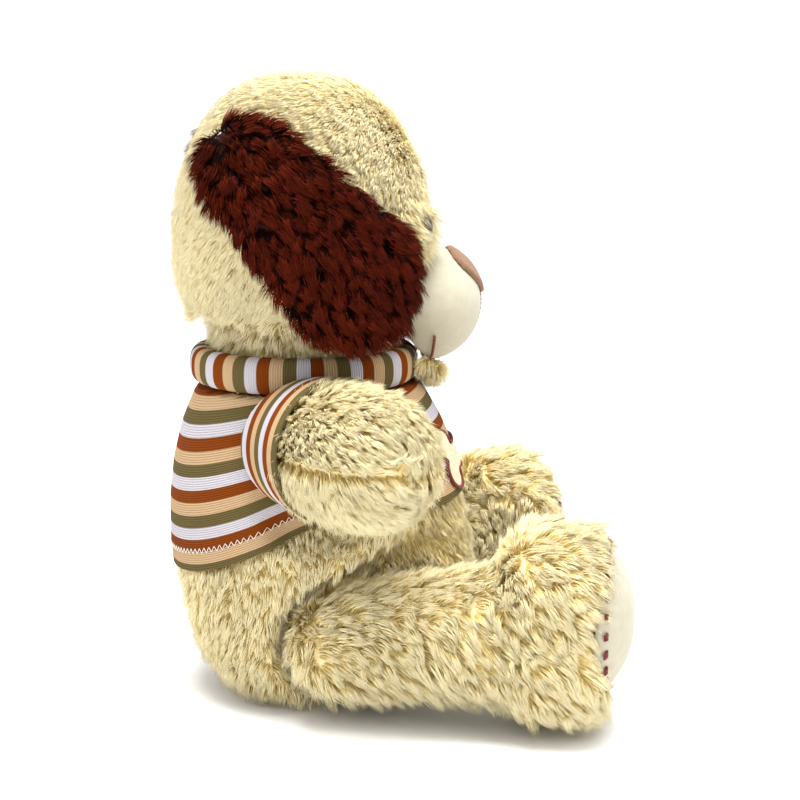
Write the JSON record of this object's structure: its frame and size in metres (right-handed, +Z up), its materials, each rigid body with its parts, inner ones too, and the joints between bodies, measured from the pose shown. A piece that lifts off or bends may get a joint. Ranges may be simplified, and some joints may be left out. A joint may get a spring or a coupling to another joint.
{
  "type": "plush dog",
  "caption": "Sitting plush dog with long side ears, a velour muzzle and soles, turning head, swinging arms and legs, and a striped knitted sweater.",
  "frame": {"origin": "centre of the whole dog's outline, on the surface that it sits on", "axes": "+Z up, the dog faces -Y, and its own right side is at -X"},
  "size_m": [0.276, 0.2163, 0.315],
  "materials": {
    "cream_plush": "combed long-pile plush, pile 8 to 12 mm",
    "brown_plush": "combed long-pile plush, pile about 10 mm",
    "brown_lining": "short-pile plush lining",
    "cream_velour": "short velour",
    "nose_velour": "short velour, pinkish brown",
    "brown_thread": "embroidery thread",
    "maroon_satin": "satin-stitch embroidery thread",
    "peach_felt": "felted cloth patch",
    "striped_knit": "rib knit striped white, rust, peach and olive",
    "fibrefill": "polyester fibre filling",
    "eye_plastic": "polished safety eye",
    "washer_plastic": "press-on washer"
  },
  "bodies": {
    "torso": {"torso_front": "cream_plush", "torso_back": "cream_plush", "torso_stuffing": "fibrefill", "sweater_front": "striped_knit", "sweater_back": "striped_knit", "sweater_collar": "striped_knit", "chest_bone": "peach_felt", "chest_bone_border": "maroon_satin"},
    "neck": {"neck_skin": "cream_plush", "neck_stuffing": "fibrefill"},
    "head": {"head_gusset": "cream_plush", "head_side_right": "cream_plush", "head_side_left": "cream_plush", "chin_panel": "cream_plush", "muzzle_panel": "cream_velour", "muzzle_stuffing": "fibrefill", "nose_patch": "nose_velour", "mouth_stitch": "brown_thread", "head_stuffing": "fibrefill", "eye_right": "eye_plastic", "eye_left": "eye_plastic", "eye_washer_right": "washer_plastic", "eye_washer_left": "washer_plastic"},
    "ear_right": {"ear_plush_right": "brown_plush", "ear_lining_right": "brown_lining", "ear_wadding_right": "fibrefill"},
    "arm_right": {"arm_upper_right": "cream_plush", "arm_lower_right": "cream_plush", "arm_stuffing_right": "fibrefill", "sleeve_right": "striped_knit"},
    "leg_right": {"leg_outer_right": "cream_plush", "leg_inner_right": "cream_plush", "leg_stuffing_right": "fibrefill", "foot_pad_right": "cream_velour", "pad_stitches_right": "maroon_satin"},
    "ear_left": {"ear_plush_left": "brown_plush", "ear_lining_left": "brown_lining", "ear_wadding_left": "fibrefill"},
    "arm_left": {"arm_upper_left": "cream_plush", "arm_lower_left": "cream_plush", "arm_stuffing_left": "fibrefill", "sleeve_left": "striped_knit"},
    "leg_left": {"leg_outer_left": "cream_plush", "leg_inner_left": "cream_plush", "leg_stuffing_left": "fibrefill", "foot_pad_left": "cream_velour", "pad_stitches_left": "maroon_satin"}
  },
  "joints": [
    {"name": "head_turn", "type": "hinge", "parent": "torso", "child": "neck", "pos_m": [0, 0.0395, 0.15], "axis": [0, 0, 1], "range_deg": [-20, 20], "stiffness_Nm_per_rad": 0.4},
    {"name": "head_nod", "type": "hinge", "parent": "neck", "child": "head", "pos_m": [0, 0.0395, 0.15], "axis": [1, 0, 0], "range_deg": [-12, 5], "stiffness_Nm_per_rad": 1.2},
    {"name": "ear_right_lift", "type": "hinge", "parent": "head", "child": "ear_right", "pos_m": [-0.038, 0.0847, 0.2833], "axis": [0.2724, 0.7017, -0.6584], "range_deg": [0, 36]},
    {"name": "arm_right_swing", "type": "hinge", "parent": "torso", "child": "arm_right", "pos_m": [-0.058, 0.041, 0.136], "axis": [1, 0, 0], "range_deg": [-15, 30], "stiffness_Nm_per_rad": 0.15},
    {"name": "leg_right_swing", "type": "hinge", "parent": "torso", "child": "leg_right", "pos_m": [-0.062, 0.025, 0.038], "axis": [1, 0, 0], "range_deg": [-15, 20], "stiffness_Nm_per_rad": 0.5},
    {"name": "ear_left_lift", "type": "hinge", "parent": "head", "child": "ear_left", "pos_m": [0.038, 0.0847, 0.2833], "axis": [0.2724, -0.7017, 0.6584], "range_deg": [0, 36]},
    {"name": "arm_left_swing", "type": "hinge", "parent": "torso", "child": "arm_left", "pos_m": [0.058, 0.041, 0.136], "axis": [1, 0, 0], "range_deg": [-15, 30], "stiffness_Nm_per_rad": 0.15},
    {"name": "leg_left_swing", "type": "hinge", "parent": "torso", "child": "leg_left", "pos_m": [0.062, 0.025, 0.038], "axis": [1, 0, 0], "range_deg": [-15, 20], "stiffness_Nm_per_rad": 0.5}
  ]
}
